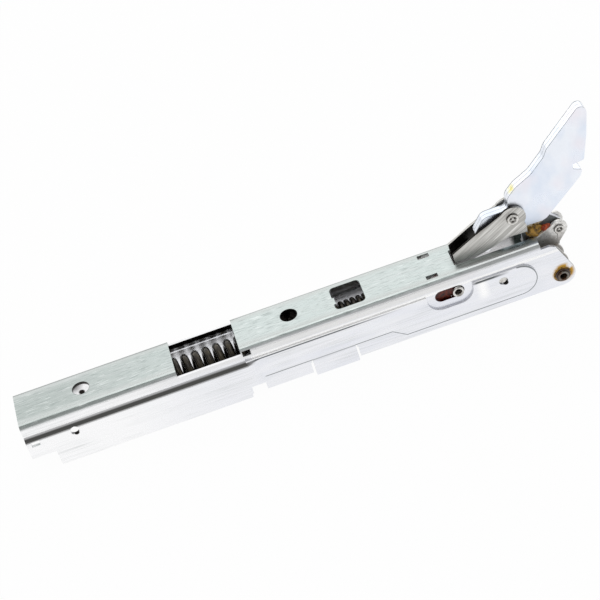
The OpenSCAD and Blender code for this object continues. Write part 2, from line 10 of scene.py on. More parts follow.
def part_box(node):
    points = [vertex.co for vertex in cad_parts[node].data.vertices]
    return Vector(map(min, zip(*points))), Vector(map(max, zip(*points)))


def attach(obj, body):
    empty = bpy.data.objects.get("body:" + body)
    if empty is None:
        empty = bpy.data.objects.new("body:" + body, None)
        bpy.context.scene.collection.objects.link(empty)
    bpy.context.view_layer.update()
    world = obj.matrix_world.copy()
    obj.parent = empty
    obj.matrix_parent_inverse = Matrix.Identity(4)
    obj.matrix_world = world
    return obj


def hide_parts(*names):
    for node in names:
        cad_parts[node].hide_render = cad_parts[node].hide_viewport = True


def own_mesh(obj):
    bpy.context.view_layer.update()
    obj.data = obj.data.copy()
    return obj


bl_info = {
    "name": "Oven door hinge dressing",
    "version": (1, 0, 0),
    "blender": (4, 5, 0),
    "location": "3D View > Sidebar > Hinge",
    "description": "Finishes, springs, rivet heads and grease for a sprung oven door hinge",
    "category": "Object",
}

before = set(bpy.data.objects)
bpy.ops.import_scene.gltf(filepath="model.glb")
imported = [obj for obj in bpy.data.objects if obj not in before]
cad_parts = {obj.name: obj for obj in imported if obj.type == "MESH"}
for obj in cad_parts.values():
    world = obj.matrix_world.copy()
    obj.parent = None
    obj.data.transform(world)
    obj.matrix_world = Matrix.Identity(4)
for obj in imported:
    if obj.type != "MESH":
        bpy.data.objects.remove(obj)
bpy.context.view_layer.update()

MM = 0.001
PER_METRE_TO_MM = 1000

# The case's box, and the height of the step that its walls are drawn out below
CASE_LOW, CASE_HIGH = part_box("case_channel")
STEP_Z = CASE_HIGH.z - 5.7 * MM
WHITE = (1, 1, 1, 1)


def linear(code):
    """Turns an sRGB hex colour into the linear colour that a shader works with."""
    shares = [int(code[place:place + 2], 16) / 255 for place in (1, 3, 5)]
    return tuple(share / 12.92 if share <= 0.04045 else ((share + 0.055) / 1.055) ** 2.4 for share in shares)


def colour(name, description, code):
    return FloatVectorProperty(
        name=name, description=description, default=linear(code), subtype="COLOR", size=3, min=0, max=1)


def length(name, description, default):
    return FloatProperty(name=name, description=description, default=default, unit="LENGTH", min=0)


def angle(name, description, degrees):
    return FloatProperty(name=name, description=description, default=math.radians(degrees), unit="ROTATION")


def share(name, description, default, high=1):
    return FloatProperty(name=name, description=description, default=default, min=0, max=high)


class SheetSettings(PropertyGroup):
    # The web is painted darker than the walls as shade, though both are one zinc sheet
    shaded_web_colour: colour("Web zinc", "Bright zinc on the flat web", "#C9D2D0")
    wall_colour: colour("Wall zinc", "Bright zinc on the walls", "#FCFCFD")
    streak_colour: colour("Streaks", "Rolling marks that show through the zinc", "#939C9A")
    case_roughness: share("Case roughness", "Gloss of the case's zinc", 0.27)
    arm_colour: colour("Arm zinc", "Blue passivated zinc on the arm's plates", "#F1F5FC")
    arm_cloud: colour("Arm clouds", "Thicker passivation in clouds", "#DDE6F5")
    arm_roughness: share("Arm roughness", "Gloss of the arm's zinc", 0.3)
    stirrup_colour: colour("Stirrup steel", "Brushed face of the stirrup", "#D2D1CD")
    edge_round: length("Broken edge", "Radius on the case's cut edges", 0.3 * MM)
    plate_round: length("Plate edge", "Radius on the arm's sheared edges", 0.3 * MM)


class SpringSettings(PropertyGroup):
    main_wire: length("Main wire", "Wire of the main spring", 3.1 * MM)
    main_turns: IntProperty(name="Main turns", description="Turns of the main spring", default=17, min=3)
    short_wire: length("Short wire", "Wire of the short spring", 2.1 * MM)
    short_turns: IntProperty(name="Short turns", description="Turns of the short spring", default=12, min=3)
    oxide_colour: colour("Oxide", "Black oxide on the oiled spring wire", "#2A2622")
    oil_colour: colour("Oil", "Olive oil film that pools on the wire", "#474132")


class RivetSettings(PropertyGroup):
    head: length("Head", "Height of a head over its foot", 0.9 * MM)
    shank: length("Shank", "Radius of the shank between the heads", 1.7 * MM)
    rim: share("Rim", "Where the rim of a head starts, as a share of its radius", 0.72)
    dish: length("Dish", "Depth of the dish in a head", 0.6 * MM)
    stake: length("Stake", "Depth of the three marks of the staking punch", 0.35 * MM)
    steel_colour: colour("Rivet steel", "Bright steel of the heads", "#DAD8D4")
    stain_colour: colour("Rivet stain", "Oil that has dried on the heads", "#8F8B84")


class GreaseSettings(PropertyGroup):
    fresh_colour: colour("Fresh grease", "Amber grease where it is thin", "#BE9036")
    dark_colour: colour("Dark grease", "Grease that holds wear dust", "#54300F")
    rust_colour: colour("Rusty grease", "Red brown grease in the slot", "#6E2308")
    film: length("Film", "Thickness of the ring of grease round the pivot", 0.5 * MM)


class StageSettings(PropertyGroup):
    floor_colour: colour("Floor", "Pale floor and backdrop", "#F7F7F7")
    floor_glow: share("Floor glow", "How far the floor is seen as plain white", 0.97)
    camera_place: FloatVectorProperty(
        name="Camera", description="Where the camera stands", subtype="TRANSLATION", size=3,
        default=(-16.96 * MM, -604.19 * MM, 562.09 * MM))
    azimuth: angle("Azimuth", "Camera's turn about the upright", -1.35)
    elevation: angle("Elevation", "Camera's height angle", 41.389)
    roll: angle("Roll", "Camera's tilt about its own axis", -18.447)
    focal: FloatProperty(
        name="Focal length", description="Lens in mm on a 36 mm sensor", default=122.95, min=1)
    behind_level: share("Light behind", "Brightness of the panel behind the object", 0.8, 4)
    overhead_level: share("Light overhead", "Brightness of the panel overhead", 1.05, 4)
    side_level: share("Light at the sides", "Brightness of the panels left and right", 0.6, 4)
    front_level: share("Light in front", "Brightness of the low panel in front", 0.8, 4)
    world_level: share("World", "Level of the plain light from all round", 0.42, 2)


def settings(name):
    return getattr(bpy.context.scene, name)


def centre_of(node):
    low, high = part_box(node)
    return (low + high) / 2


def on_case(along, across, up):
    """A place on the case, from its rear end, its middle plane and its lower edge, in metres."""
    return Vector((CASE_LOW.x + along, across, up))


def new_material(name):
    material = bpy.data.materials.new(name)
    material.use_nodes = True
    material.node_tree.nodes.clear()
    return material


def add(material, kind, feeds=None, **choices):
    """Adds a shader node, makes its choices, and feeds its sockets by values or by other sockets."""
    node = material.node_tree.nodes.new(kind)
    for name, value in choices.items():
        setattr(node, name, value)
    for socket, source in (feeds or {}).items():
        if isinstance(source, bpy.types.NodeSocket):
            material.node_tree.links.new(source, node.inputs[socket])
        else:
            node.inputs[socket].default_value = source
    return node


def opaque(rgb):
    return (*rgb, 1)


def paint(code):
    """The colour that a shader's socket takes, from its sRGB hex value."""
    return opaque(linear(code))


def pattern(material, size, stretch=(1, 1, 1), turn=(0, 0, 0), detail=3.0, band=(0.35, 0.65), levels=(0, 1)):
    """Clouds of a size in mm, drawn out along each axis by a stretch, with a band of them over two levels."""
    place = add(material, "ShaderNodeTexCoord").outputs["Object"]
    turned = add(material, "ShaderNodeMapping", {"Vector": place, "Rotation": turn})
    per_metre = [PER_METRE_TO_MM / (size * along) for along in stretch]
    scaled = add(material, "ShaderNodeMapping", {"Vector": turned.outputs[0], "Scale": per_metre})
    clouds = add(material, "ShaderNodeTexNoise", {
        "Vector": scaled.outputs[0], "Scale": 1, "Detail": detail, "Roughness": 0.55})
    return add(material, "ShaderNodeMapRange", {
        "Value": clouds.outputs[0], "From Min": band[0], "From Max": band[1],
        "To Min": levels[0], "To Max": levels[1]}).outputs[0]


def place_parts(material):
    """X, Y and Z of each place on the object, in metres."""
    place = add(material, "ShaderNodeTexCoord").outputs["Object"]
    return add(material, "ShaderNodeSeparateXYZ", {0: place}).outputs


def between(material, axis, start, end):
    """Rises from 0 to 1 between two places along an axis of the object, in metres."""
    return add(material, "ShaderNodeMapRange", {
        "Value": place_parts(material)[axis], "From Min": start, "From Max": end}).outputs[0]


def off_middle(material, start, end):
    """Rises from 0 to 1 between two distances from the middle plane, on both sides of it, in metres."""
    away = add(material, "ShaderNodeMath", {0: place_parts(material)["Y"]}, operation="ABSOLUTE")
    return add(material, "ShaderNodeMapRange", {
        "Value": away.outputs[0], "From Min": start, "From Max": end}).outputs[0]


def off_place(material, place, start, end):
    """Rises from 0 to 1 between two distances from a place on the object, in metres."""
    here = add(material, "ShaderNodeTexCoord").outputs["Object"]
    away = add(material, "ShaderNodeVectorMath", {0: here, 1: place}, operation="DISTANCE")
    return add(material, "ShaderNodeMapRange", {
        "Value": away.outputs["Value"], "From Min": start, "From Max": end}).outputs[0]


def off_axis(material, x, z, start, end):
    """Rises from 0 to 1 between two distances from a line straight across the object, in metres."""
    place = place_parts(material)
    flat = add(material, "ShaderNodeCombineXYZ", {"X": place["X"], "Z": place["Z"]}).outputs[0]
    away = add(material, "ShaderNodeVectorMath", {0: flat, 1: (x, 0, z)}, operation="DISTANCE")
    return add(material, "ShaderNodeMapRange", {
        "Value": away.outputs["Value"], "From Min": start, "From Max": end}).outputs[0]


def where_all(material, *masks):
    """1 only where every one of the masks is 1."""
    mask = masks[0]
    for other in masks[1:]:
        mask = add(material, "ShaderNodeMath", {0: mask, 1: other}, operation="MULTIPLY").outputs[0]
    return mask


def tinted(material, base, tint, *masks):
    """Lays a tint over a base colour where all of its masks are 1."""
    return add(material, "ShaderNodeMix", {
        0: where_all(material, *masks), 6: base, 7: tint}, data_type="RGBA").outputs[2]


def relief(material, *layers):
    """Piles up bumps, each of a pattern and its depth in metres."""
    normal = None
    for height, depth in layers:
        feeds = {"Height": height, "Distance": depth, "Strength": 1}
        if normal is not None:
            feeds["Normal"] = normal
        normal = add(material, "ShaderNodeBump", feeds).outputs[0]
    return normal


def surface(material, **feeds):
    """Ends a material in one shader, whose sockets are named with _ for a space."""
    named = {name.replace("_", " "): source for name, source in feeds.items()}
    shader = add(material, "ShaderNodeBsdfPrincipled", named)
    add(material, "ShaderNodeOutputMaterial", {"Surface": shader.outputs[0]})
    return material


# Masks for the stretches of the case

def along_case(material, start, end):
    """Rises from 0 to 1 between two distances from the case's rear end, in metres."""
    return between(material, "X", CASE_LOW.x + start, CASE_LOW.x + end)


def below_top(material, start, end):
    """Rises from 0 to 1 between two depths below the top of the web, in metres."""
    return between(material, "Z", CASE_HIGH.z - start, CASE_HIGH.z - end)


def above_step(material, start, end):
    """Rises from 0 to 1 between two heights over the step, which are negative below it, in metres."""
    return between(material, "Z", STEP_Z + start, STEP_Z + end)


def on_web(material):
    return below_top(material, 2 * MM, 0.6 * MM)


def on_walls(material):
    return below_top(material, 0.6 * MM, 2 * MM)


def on_rear_half(material):
    return along_case(material, 96 * MM, 92 * MM)


def on_front_half(material):
    return along_case(material, 92 * MM, 96 * MM)


def panel_shadow_line(material):
    """1 along the lower edge and round end of the front panel, where a thin line of painted shadow is drawn.
    """
    width = 0.5 * MM
    end_x = CASE_LOW.x + 205 * MM
    end_z = 10.5 * MM
    end_radius = 7.3 * MM
    place = place_parts(material)
    # The lower edge runs higher at the rear, and slopes down to the level of the round end
    edge = add(material, "ShaderNodeMapRange", {
        "Value": place["X"], "From Min": CASE_LOW.x + 150.8 * MM, "From Max": CASE_LOW.x + 156.2 * MM,
        "To Min": 7.3 * MM, "To Max": end_z - end_radius}).outputs[0]
    above = add(material, "ShaderNodeMath", {0: place["Z"], 1: edge}, operation="SUBTRACT").outputs[0]
    lower = add(material, "ShaderNodeMapRange", {
        "Value": above, "From Min": width, "From Max": 0.6 * width}).outputs[0]
    lower = where_all(material, lower, between(material, "X", end_x, end_x - width))
    end = off_axis(material, end_x, end_z, end_radius - width, end_radius - 0.6 * width)
    end = where_all(material, end, between(material, "X", end_x - width, end_x))
    line = add(material, "ShaderNodeMath", {0: lower, 1: end}, operation="MAXIMUM").outputs[0]
    return where_all(
        material, line, along_case(material, 97 * MM, 98 * MM), off_middle(material, 11 * MM, 11.1 * MM),
        off_middle(material, 11.6 * MM, 11.5 * MM))


# Layers of the case's zinc, from the plating up to the grease on it

def rolled_zinc(material):
    """Silver web painted darker than the white walls as shade, with the rolling mill's dark dashes and bright
    glints along the web.
    """
    sheet = settings("hinge_sheet")
    web = on_web(material)
    # Rolling dashes are 5 mm long and 0.3 mm wide; drawn at twice their width so that they show
    dashes = pattern(material, 0.6, stretch=(8, 1, 1), detail=3, band=(0.5, 0.78))
    glints = pattern(material, 0.6, stretch=(10, 1, 1), detail=2, band=(0.58, 0.75), levels=(0, 0.7))
    tone = tinted(material, opaque(sheet.wall_colour), opaque(sheet.shaded_web_colour), web)
    tone = tinted(material, tone, paint("#B0B8B5"), web, along_case(material, 100 * MM, 20 * MM))
    tone = tinted(material, tone, opaque(sheet.streak_colour), dashes, web)
    return tinted(material, tone, paint("#F4F8F7"), glints, web)


def shaded_bends(material, tone):
    """Towards both bends the web is painted greyer as shade, and the far bend darker yet, most of all on the
    rear half.
    """
    tone = tinted(
        material, tone, paint("#C4C9C7"), on_web(material), off_middle(material, 5.5 * MM, 8 * MM),
        off_middle(material, 9 * MM, 8.4 * MM))
    far_bend = between(material, "Y", 7.6 * MM, 9 * MM)
    top = below_top(material, 3 * MM, 2.4 * MM)
    tone = tinted(material, tone, paint("#A6ABA9"), far_bend, top)
    return tinted(material, tone, paint("#8C918F"), far_bend, top, on_rear_half(material))


def lavender_walls(material, tone):
    """The walls turn from white at the rear end to a faint lavender in front, under thin grey lines."""
    walls = on_walls(material)
    lavender = pattern(material, 6, stretch=(5, 1, 1), detail=3, band=(0.4, 0.7))
    lines = pattern(material, 0.5, stretch=(60, 1, 1), detail=2, band=(0.45, 0.75))
    clouds = pattern(material, 9, stretch=(3, 1, 1), detail=3, band=(0.4, 0.75))
    tone = tinted(material, tone, paint("#F0F1F5"), walls, along_case(material, 40 * MM, 80 * MM))
    tone = tinted(material, tone, paint("#E8EAF1"), lavender, walls, on_front_half(material))
    return tinted(material, tone, paint("#CDD0D0"), lines, clouds)


def grey_band_and_step_shadow(material, tone):
    """The narrow band above the step is a little greyer, and under the step the rear wall is painted dark as
    the step's shadow.
    """
    tone = tinted(
        material, tone, paint("#E4E4E4"), above_step(material, 0.9 * MM, 1.8 * MM),
        below_top(material, MM, 2 * MM), along_case(material, 20 * MM, 110 * MM),
        along_case(material, 205 * MM, 175 * MM))
    # Painted shadow under the step on the rear half
    return tinted(
        material, tone, paint("#6E6E6C"), on_rear_half(material), off_middle(material, 10.5 * MM, 10.6 * MM),
        above_step(material, -2.4 * MM, -1.6 * MM), above_step(material, -0.3 * MM, -0.7 * MM))


def panel_shade_and_highlights(material, tone):
    """The front panel gets painted shade as thin dark lines along its edges, and painted highlights as bright
    bands.
    """
    front = on_front_half(material)
    panel = off_middle(material, 11 * MM, 11.1 * MM)
    # Painted shadow along the lower edge and round end of the panel
    tone = tinted(material, tone, paint("#8E9294"), panel_shadow_line(material))
    # Where the panel dips beside the slot, a painted highlight lies in an upright band
    tone = tinted(
        material, tone, WHITE, panel, along_case(material, 187 * MM, 189.5 * MM),
        along_case(material, 193 * MM, 190.5 * MM), between(material, "Z", 7 * MM, 10 * MM))
    # Painted shade lines the top edge of the panel, thin in the middle, and lower and darker near the arm
    tone = tinted(
        material, tone, paint("#666A6C"), panel, front, along_case(material, 158 * MM, 135 * MM),
        above_step(material, -1.2 * MM, -0.9 * MM), above_step(material, -0.3 * MM, -0.5 * MM))
    tone = tinted(
        material, tone, paint("#5A5E60"), panel, along_case(material, 185 * MM, 188 * MM),
        along_case(material, 202 * MM, 195 * MM), above_step(material, -2 * MM, -1.4 * MM),
        above_step(material, -0.5 * MM, -0.8 * MM))
    # A painted highlight lies along the ledge over the panel
    return tinted(
        material, tone, WHITE, front, off_middle(material, 10.4 * MM, 10.5 * MM),
        above_step(material, -0.3 * MM, -0.1 * MM), above_step(material, 1.2 * MM, 0.8 * MM))


def web_strip_and_hole_shade(material, tone):
    """The web beside the arm is painted greyer as shade, and the sheared rims of the screw holes are painted
    dark as shade.
    """
    # Painted shade on the web beside the arm
    tone = tinted(
        material, tone, paint("#CBCECE"), on_web(material), along_case(material, 181 * MM, 190 * MM),
        off_middle(material, 7 * MM, 7.8 * MM))
    # Painted shade on the sheared rims of the screw holes
    for hole in (27.2 * MM, 114 * MM):
        middle = on_case(hole, 0, CASE_HIGH.z - 0.65 * MM)
        tone = tinted(material, tone, paint("#3C3B39"), off_place(material, middle, 3.7 * MM, 3.6 * MM))
    return tone


def shade_inside(material, tone):
    """Painted shade darkens the inside of the walls: under the web, behind the screw holes and all round the
    pivot.
    """
    black = paint("#24211F")
    inside = off_middle(material, 10.3 * MM, 10.2 * MM)
    inside_rear = off_middle(material, 11.3 * MM, 11.2 * MM)
    # Painted shade under the web on the rear half
    tone = tinted(
        material, tone, black, on_rear_half(material), off_middle(material, 9.4 * MM, 9.3 * MM),
        below_top(material, 5.1 * MM, 4.6 * MM), below_top(material, 1.4 * MM, 1.6 * MM))
    # A small dark spot on the far wall, behind the rear screw hole
    rear_spot = on_case(25.6 * MM, 11.1 * MM, 11.9 * MM)
    tone = tinted(material, tone, black, inside_rear, off_place(material, rear_spot, 1.5 * MM, MM))
    # Painted shade behind the front screw hole
    front_hole_shade = on_case(112.6 * MM, 10.1 * MM, 14.7 * MM)
    tone = tinted(material, tone, black, inside, off_place(material, front_hole_shade, 5.5 * MM, 4.5 * MM))
    # Painted shade inside the walls near the pivot
    tone = tinted(
        material, tone, paint("#39413F"), inside, along_case(material, 208 * MM, 210 * MM),
        between(material, "Z", 21 * MM, 20 * MM))
    # Painted shadow of the rear hole's edge on the far wall
    rear_hole_shadow = on_case(22.8 * MM, 11.1 * MM, 16.8 * MM)
    return tinted(material, tone, paint("#3F3F3E"), inside_rear, off_place(material, rear_hole_shadow, 5 * MM, MM))


def grease_and_hole_shade(material, tone):
    """Grease has stained the wall amber above the main pivot and rusty at the slot, and two holes are painted
    black as shade.
    """
    pivot = centre_of("pivot_tube")
    above_pivot = Vector((pivot.x + 0.5 * MM, -10.5 * MM, pivot.z + 0.8 * MM))
    crept = off_place(material, above_pivot, 5 * MM, 3.7 * MM)
    tone = tinted(material, tone, paint("#B98F3C"), crept, pattern(material, 3, band=(0.3, 0.5)))
    # The lower rims of the round holes are painted dark as shade
    for rim in (on_case(20.3 * MM, -11.8 * MM, 13.6 * MM), on_case(199.4 * MM, -10.8 * MM, 12.2 * MM)):
        tone = tinted(material, tone, paint("#24211F"), off_place(material, rim, 1.3 * MM, 1.1 * MM))
    # The rim of the slot is stained behind the slider's pin
    pin = centre_of("slider_pin")
    slot_rim = Vector((pin.x - 4.5 * MM, -9.8 * MM, pin.z))
    rust = opaque(settings("hinge_grease").rust_colour)
    return tinted(
        material, tone, rust, off_place(material, slot_rim, 5 * MM, 4 * MM),
        off_middle(material, 10.45 * MM, 10.4 * MM))


def zinc_on_sheet():
    """Bright zinc on cold rolled, pressed sheet: silver, with lengthwise rolling streaks showing through."""
    sheet = settings("hinge_sheet")
    material = new_material("zinc_on_rolled_sheet")
    tone = rolled_zinc(material)
    for layer in (shaded_bends, lavender_walls, grey_band_and_step_shadow, panel_shade_and_highlights, web_strip_and_hole_shade, shade_inside, grease_and_hole_shade):
        tone = layer(material, tone)
    # The drawn flanks of the panel are matt and dull
    front = on_front_half(material)
    flank = where_all(
        material, front, off_middle(material, 10.55 * MM, 10.6 * MM),
        off_middle(material, 11.35 * MM, 11.3 * MM))
    gloss = pattern(material, 0.8, stretch=(14, 1, 1), detail=3, band=(0.3, 0.75),
                    levels=(sheet.case_roughness * 0.8, sheet.case_roughness * 1.5))
    matt = add(material, "ShaderNodeMapRange", {"Value": flank, "To Min": 0, "To Max": 0.5}).outputs[0]
    gloss = add(material, "ShaderNodeMath", {0: gloss, 1: matt}, operation="MAXIMUM").outputs[0]
    metal = add(material, "ShaderNodeMapRange", {"Value": flank, "To Min": 1, "To Max": 0.3}).outputs[0]
    # The pressed sheet waves gently over 30 mm, and the plating's grain is drawn at 0.3 mm so that it shows
    waves = pattern(material, 30, stretch=(1, 0.6, 0.6), detail=1, band=(0, 1))
    scores = pattern(material, 0.5, stretch=(30, 1, 1), detail=3, band=(0, 1))
    grain = pattern(material, 0.3, detail=2, band=(0, 1))
    # The wall swells out softly above the panel's top edge
    swell = where_all(material, front, above_step(material, MM, 0))
    normal = relief(material, (waves, 0.2 * MM), (scores, 0.006 * MM), (grain, 0.003 * MM), (swell, 0.3 * MM))
    return surface(material, Base_Color=tone, Roughness=gloss, Normal=normal, Metallic=metal)


# Materials of the other pieces

def blue_zinc_on_plate():
    """Blue passivated zinc on blanked plate: smooth and cool, with soft clouds and a few fine scratches."""
    sheet = settings("hinge_sheet")
    material = new_material("blue_zinc_on_blanked_plate")
    clouds = pattern(material, 11, stretch=(1, 1, 1.6), detail=3, band=(0.4, 0.72))
    rosy = pattern(material, 14, detail=2, band=(0.5, 0.8))
    tone = tinted(material, opaque(sheet.arm_colour), opaque(sheet.arm_cloud), clouds)
    tone = tinted(material, tone, paint("#F3EEF4"), rosy)
    # A trace of yellow chromate stays on the back edge above the stirrup
    back_edge = Vector((88.3 * MM, 0, 47.9 * MM))
    stain = off_place(material, back_edge, 2.6 * MM, 0.6 * MM)
    tone = tinted(material, tone, paint("#E6DC7A"), stain, pattern(material, 1.5, band=(0.3, 0.55)))
    # The sheared edges are burnished, which shows as a thin dark line along each plate
    tone = tinted(
        material, tone, paint("#5F676A"), off_middle(material, 1.84 * MM, 1.92 * MM),
        off_middle(material, 2.19 * MM, 2.17 * MM), pattern(material, 2.5, band=(0.22, 0.42)))
    seam = off_middle(material, 0.12 * MM, 0.06 * MM)
    tone = tinted(material, tone, paint("#9AA0A2"), seam)
    # Between the ears of the carrier the zinc is rubbed dull and pale
    rubbed = off_place(material, centre_of("heel_rivet"), 7 * MM, 5 * MM)
    metal = add(material, "ShaderNodeMapRange", {"Value": rubbed, "To Min": 1, "To Max": 0.25}).outputs[0]
    gloss = pattern(material, 11, band=(0.3, 0.7),
                    levels=(sheet.arm_roughness * 0.8, sheet.arm_roughness * 1.3))
    # Scratches run up the arm, about 0.15 mm wide and drawn at 0.3 mm
    up_the_arm = (0, math.radians(24), 0)
    scratches = pattern(material, 0.3, stretch=(1, 1, 30), turn=up_the_arm, band=(0, 1))
    grain = pattern(material, 0.4, detail=2, band=(0, 1))
    normal = relief(material, (scratches, 0.004 * MM), (grain, 0.003 * MM))
    return surface(material, Base_Color=tone, Roughness=gloss, Normal=normal, Metallic=metal)


def shade_and_edge_scale(material, tone):
    """Paints black shade between the cheeks near the toe, and blackens the sheared edge in front, partly for
    its scale and partly as painted shade of the gap behind it.
    """
    low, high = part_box("stirrup")
    black = paint("#1B1815")
    behind_face = between(material, "Y", low.y + 0.06 * MM, low.y + 0.14 * MM)
    above_web = between(material, "Z", low.z + 0.2 * MM, low.z + 0.6 * MM)
    before_far = between(material, "Y", high.y - 1.05 * MM, high.y - 1.12 * MM)
    near_toe = between(material, "X", low.x + 15 * MM, low.x + 13 * MM)
    # Painted shade between the cheeks near the toe
    tone = tinted(material, tone, black, behind_face, above_web, before_far, near_toe)
    # The sheared edge in front: dark scale, with painted shade of the gap behind it
    front_edge = between(material, "Y", low.y + 1.15 * MM, low.y + 1.05 * MM)
    below_rivet = between(material, "X", high.x - 2 * MM, high.x - 5 * MM)
    return tinted(material, tone, black, behind_face, above_web, front_edge, below_rivet)


def brushed_stirrup_steel():
    """Spring steel belt-brushed along its length and left bare: grey with fine lines, and painted shade
    inside.
    """
    sheet = settings("hinge_sheet")
    material = new_material("brushed_spring_steel")
    toe_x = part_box("stirrup")[0].x
    slope = (0, math.radians(30), 0)
    # Brush lines are 0.1 mm wide; drawn at 0.35 mm so that they show
    lines = pattern(material, 0.35, stretch=(50, 1, 1), turn=slope, detail=3)
    broad = pattern(material, 1.6, stretch=(10, 1, 1), turn=slope, detail=2, band=(0.4, 0.65))
    fine = pattern(material, 0.5, stretch=(40, 1, 1), turn=slope)
    tone = tinted(material, opaque(sheet.stirrup_colour), paint("#9B9995"), lines)
    tone = tinted(material, tone, paint("#F0EFEC"), broad, fine)
    toe = between(material, "X", toe_x + 16 * MM, toe_x + 4 * MM)
    mottle = pattern(material, 5, stretch=(3, 1, 1), turn=slope, levels=(0.2, 0.8))
    tone = tinted(material, tone, paint("#BAB8B4"), toe, mottle)
    tone = shade_and_edge_scale(material, tone)
    gloss = pattern(material, 0.6, stretch=(20, 1, 1), turn=slope, band=(0.3, 0.7), levels=(0.3, 0.45))
    normal = relief(material, (lines, 0.008 * MM))
    return surface(material, Base_Color=tone, Roughness=gloss, Normal=normal, Metallic=1.0)


def tumbled_carrier_steel():
    """Plain zinc on blanked cheeks, tumbled before assembly: pale and mottled, brown with grease low down,
    and painted greyer low down as shade.
    """
    grease = settings("hinge_grease")
    material = new_material("tumbled_zinc_on_blanked_cheek")
    mottle = pattern(material, 1.4, detail=4, band=(0.38, 0.68))
    film = pattern(material, 3.5, detail=4, band=(0.55, 0.75))
    tone = tinted(material, paint("#FAF9F6"), paint("#D2D0CC"), mottle)
    tone = tinted(material, tone, opaque(grease.dark_colour), film, between(material, "Z", 21 * MM, 17 * MM))
    # Painted shade: the cheeks turn greyer low down
    tone = tinted(material, tone, paint("#B9B6B2"), between(material, "Z", 21 * MM, 17.5 * MM))
    gloss = pattern(material, 1.4, detail=4, band=(0.3, 0.7), levels=(0.26, 0.42))
    normal = relief(material, (pattern(material, 0.4, detail=2, band=(0, 1)), 0.008 * MM))
    return surface(material, Base_Color=tone, Roughness=gloss, Normal=normal, Metallic=0.55)


def oil_stained_steel(material):
    """Bright steel with a trace of dried oil in the hollows."""
    rivets = settings("hinge_rivet")
    stain = pattern(material, 1.2, detail=4, band=(0.5, 0.72))
    return tinted(material, opaque(rivets.steel_colour), opaque(rivets.stain_colour), stain)


def upset_surface(material, tone):
    """Ends a rivet's material: glossy metal, finely uneven from the upsetting tool."""
    gloss = pattern(material, 1.2, detail=4, band=(0.3, 0.7), levels=(0.18, 0.34))
    normal = relief(material, (pattern(material, 0.3, detail=2, band=(0, 1)), 0.006 * MM))
    return surface(material, Base_Color=tone, Roughness=gloss, Normal=normal, Metallic=1.0)


def rivet_steel():
    """Turned and upset rivet steel: bright, with a trace of dried oil in the hollows."""
    material = new_material("upset_rivet_steel")
    return upset_surface(material, oil_stained_steel(material))


def staked_rivet_steel(name, top):
    """Staked rivet steel: a bright rim, and a dish that keeps dark oil round the marks of the punch."""
    material = new_material(name)
    dish = off_middle(material, top - 0.2 * MM, top - settings("hinge_rivet").dish)
    return upset_surface(material, tinted(material, oil_stained_steel(material), paint("#4B4743"), dish))


def greased_steel():
    """Bare machined steel under old grease: grey metal that shows through brown in patches."""
    grease = settings("hinge_grease")
    material = new_material("greased_machined_steel")
    film = pattern(material, 2.2, detail=5, band=(0.42, 0.6))
    tone = tinted(material, paint("#77736D"), opaque(grease.dark_colour), film)
    metal = add(material, "ShaderNodeMapRange", {"Value": film, "To Min": 1, "To Max": 0.35}).outputs[0]
    gloss = pattern(material, 2.2, detail=5, band=(0.35, 0.7), levels=(0.38, 0.16))
    normal = relief(material, (pattern(material, 2.2, detail=5, band=(0, 1)), 0.08 * MM))
    return surface(material, Base_Color=tone, Roughness=gloss, Normal=normal, Metallic=metal,
                   Coat_Weight=0.5, Coat_Roughness=0.12)


def oiled_spring_wire():
    """Black oxide on hard drawn wire, oiled: near black with soft olive glints along each turn."""
    spring = settings("hinge_spring")
    material = new_material("oiled_black_oxide_wire")
    pools = pattern(material, 2, detail=4, band=(0.4, 0.72))
    tone = tinted(material, opaque(spring.oxide_colour), opaque(spring.oil_colour), pools)
    gloss = pattern(material, 2, detail=4, band=(0.3, 0.7), levels=(0.34, 0.22))
    draw = pattern(material, 0.6, stretch=(0.3, 1, 1), detail=3, band=(0, 1))
    normal = relief(material, (draw, 0.012 * MM))
    return surface(material, Base_Color=tone, Roughness=gloss, Normal=normal, Metallic=0.75,
                   Coat_Weight=0.15, Coat_Roughness=0.2)


def squeezed_grease(name, thin, thick):
    """Lithium grease squeezed out at a joint: one colour where thin, another where it holds wear dust."""
    material = new_material(name)
    dust = pattern(material, 1.3, detail=4, band=(0.4, 0.66))
    tone = tinted(material, opaque(thin), opaque(thick), dust)
    normal = relief(material, (pattern(material, 0.6, detail=3, band=(0, 1)), 0.12 * MM))
    return surface(material, Base_Color=tone, Roughness=0.5, Normal=normal,
                   Coat_Weight=0.1, Coat_Roughness=0.1)


def amber_grease():
    """Lithium grease between the ears and round the pivot: amber, and olive brown where it is thick."""
    return squeezed_grease("amber_lithium_grease", settings("hinge_grease").fresh_colour, linear("#4E3C18"))


def pale_grease():
    """Lithium grease with little wear dust in it: cream over the amber."""
    return squeezed_grease("pale_lithium_grease", linear("#D6CBB0"), linear("#A08A55"))


def red_grease():
    """Lithium grease that rust colours thinly: orange red at the rim of the near ear."""
    return squeezed_grease("red_lithium_grease", linear("#C8501C"), settings("hinge_grease").rust_colour)


def rusty_grease():
    """Lithium grease full of rust: red brown to black in the slot."""
    return squeezed_grease("rusty_lithium_grease", settings("hinge_grease").rust_colour, linear("#0B0402"))


